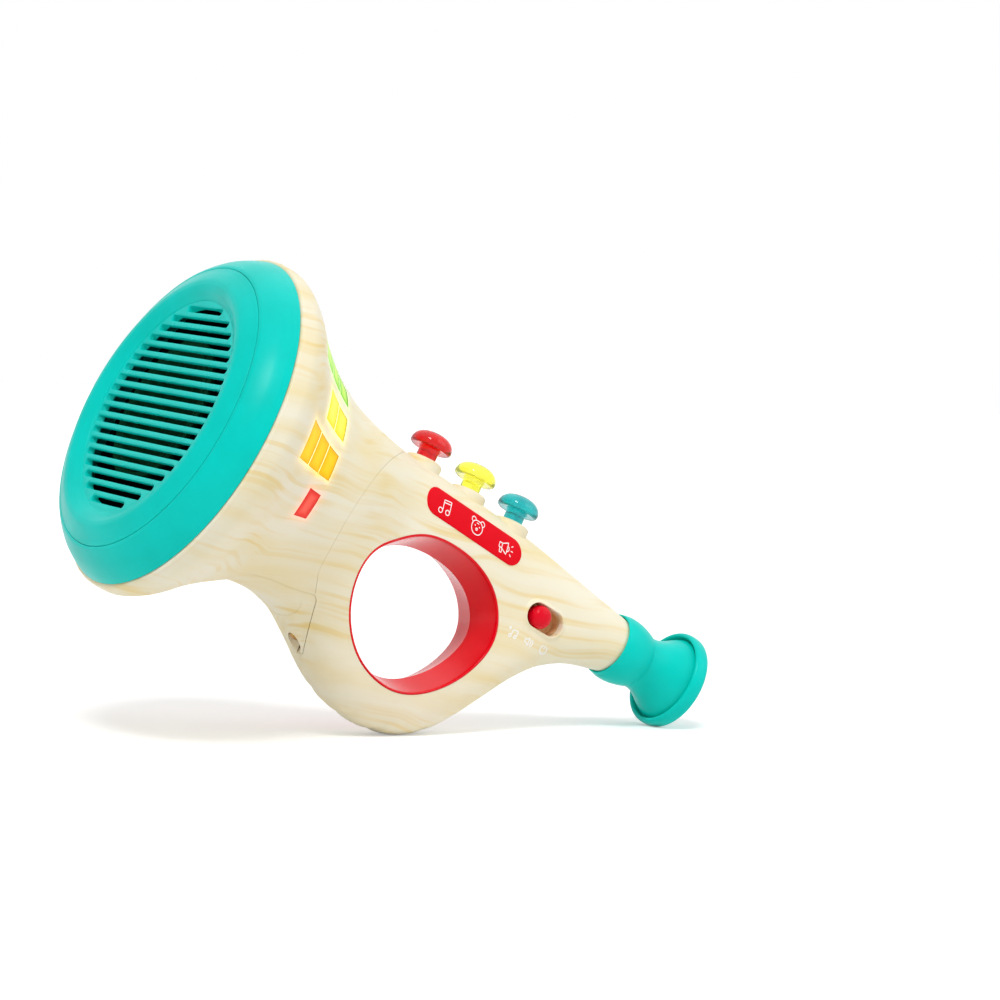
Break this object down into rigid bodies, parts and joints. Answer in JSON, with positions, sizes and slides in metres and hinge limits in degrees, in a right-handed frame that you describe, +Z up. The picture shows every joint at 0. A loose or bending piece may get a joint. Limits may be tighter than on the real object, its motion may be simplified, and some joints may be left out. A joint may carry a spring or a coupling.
{
  "type": "toy trumpet",
  "caption": "Toy trumpet with a wide bell and speaker grille, light windows, press buttons, loop handle, slide switch, battery door and mouthpiece.",
  "frame": {"origin": "middle of the bounding box at floor level, with the trumpet set down on the heel of its grip and the rim of its mouthpiece", "axes": "+X from the bell towards the mouthpiece, -Y is the side with the switch and the icon plate, +Z up from the floor; the bell axis lies in the XZ plane, pitched 26.28 degrees with the bell up"},
  "size_m": [0.2676, 0.1326, 0.175],
  "materials": {
    "woodlook_shell": "satin plastic with a printed pale wood grain",
    "teal_plastic": "satin teal plastic",
    "red_plastic": "glossy red plastic",
    "button_red": "clear tinted red plastic",
    "button_yellow": "clear tinted yellow plastic",
    "button_teal": "clear tinted teal plastic",
    "light_red": "translucent red light window",
    "light_orange": "translucent orange light window",
    "light_yellow": "translucent yellow light window",
    "light_green": "translucent green light window",
    "light_blue": "translucent blue light window",
    "light_violet": "translucent violet light window",
    "circuit_board": "green circuit board",
    "dark_plastic": "dark moulded plastic",
    "speaker_paper": "dark pressed paper",
    "steel": "plain steel",
    "contact_rubber": "dark silicone pad",
    "cell_wrap": "wrapped dry cell"
  },
  "bodies": {
    "trumpet": {"bell_shell": "woodlook_shell", "left_shell": "woodlook_shell", "right_shell": "woodlook_shell", "switch_body": "woodlook_shell", "valve_boss_red": "woodlook_shell", "valve_boss_yellow": "woodlook_shell", "valve_boss_teal": "woodlook_shell", "bell_ring": "teal_plastic", "speaker_grille": "teal_plastic", "mouthpiece_collar": "teal_plastic", "mouthpiece_cup": "teal_plastic", "handle_liner_left": "red_plastic", "handle_liner_right": "red_plastic", "icon_plate": "red_plastic", "light_strip_red_left": "light_red", "light_strip_red_right": "light_red", "light_strip_orange_left": "light_orange", "light_strip_orange_right": "light_orange", "light_strip_yellow_left": "light_yellow", "light_strip_yellow_right": "light_yellow", "light_strip_green_left": "light_green", "light_strip_green_right": "light_green", "light_strip_blue_left": "light_blue", "light_strip_blue_right": "light_blue", "light_strip_violet_top": "light_violet", "main_board": "circuit_board", "light_board": "circuit_board", "speaker_frame": "dark_plastic", "battery_box": "dark_plastic", "speaker_cone": "speaker_paper", "speaker_magnet": "steel", "battery_contact_front": "steel", "battery_contact_rear": "steel", "microphone": "steel", "valve_spring_red": "steel", "valve_spring_yellow": "steel", "valve_spring_teal": "steel", "shell_screw_1": "steel", "shell_screw_2": "steel", "shell_screw_3": "steel", "shell_screw_4": "steel", "valve_contact_red": "contact_rubber", "valve_contact_yellow": "contact_rubber", "valve_contact_teal": "contact_rubber", "battery_cell_1": "cell_wrap", "battery_cell_2": "cell_wrap", "battery_cell_3": "cell_wrap"},
    "button_red": {"valve_button_red": "button_red"},
    "button_yellow": {"valve_button_yellow": "button_yellow"},
    "button_teal": {"valve_button_teal": "button_teal"},
    "switch": {"switch_knob": "red_plastic"},
    "door": {"battery_door": "woodlook_shell"},
    "screw": {"door_screw": "steel"}
  },
  "joints": [
    {"name": "press_red", "type": "slide", "parent": "trumpet", "child": "button_red", "axis": [-0.4427, 0, -0.8967], "range_m": [0, 0.0038], "stiffness_N_per_m": 200, "springref_m": -0.003, "deforming": ["valve_spring_red"]},
    {"name": "press_yellow", "type": "slide", "parent": "trumpet", "child": "button_yellow", "axis": [-0.4427, 0, -0.8967], "range_m": [0, 0.0038], "stiffness_N_per_m": 200, "springref_m": -0.003, "deforming": ["valve_spring_yellow"]},
    {"name": "press_teal", "type": "slide", "parent": "trumpet", "child": "button_teal", "axis": [-0.4427, 0, -0.8967], "range_m": [0, 0.0038], "stiffness_N_per_m": 200, "springref_m": -0.003, "deforming": ["valve_spring_teal"]},
    {"name": "slide_switch", "type": "slide", "parent": "trumpet", "child": "switch", "axis": [0.8962, 0.031, -0.4425], "range_m": [-0.002, 0.006]},
    {"name": "open_door", "type": "hinge", "parent": "trumpet", "child": "door", "pos_m": [-0.08445, 0, 0.05841], "axis": [0, 1, 0], "range_deg": [0, 60]},
    {"name": "turn_screw", "type": "hinge", "parent": "door", "child": "screw", "pos_m": [-0.04834, 0, 0.03532], "axis": [0.4427, 0, 0.8967], "continuous": true}
  ]
}
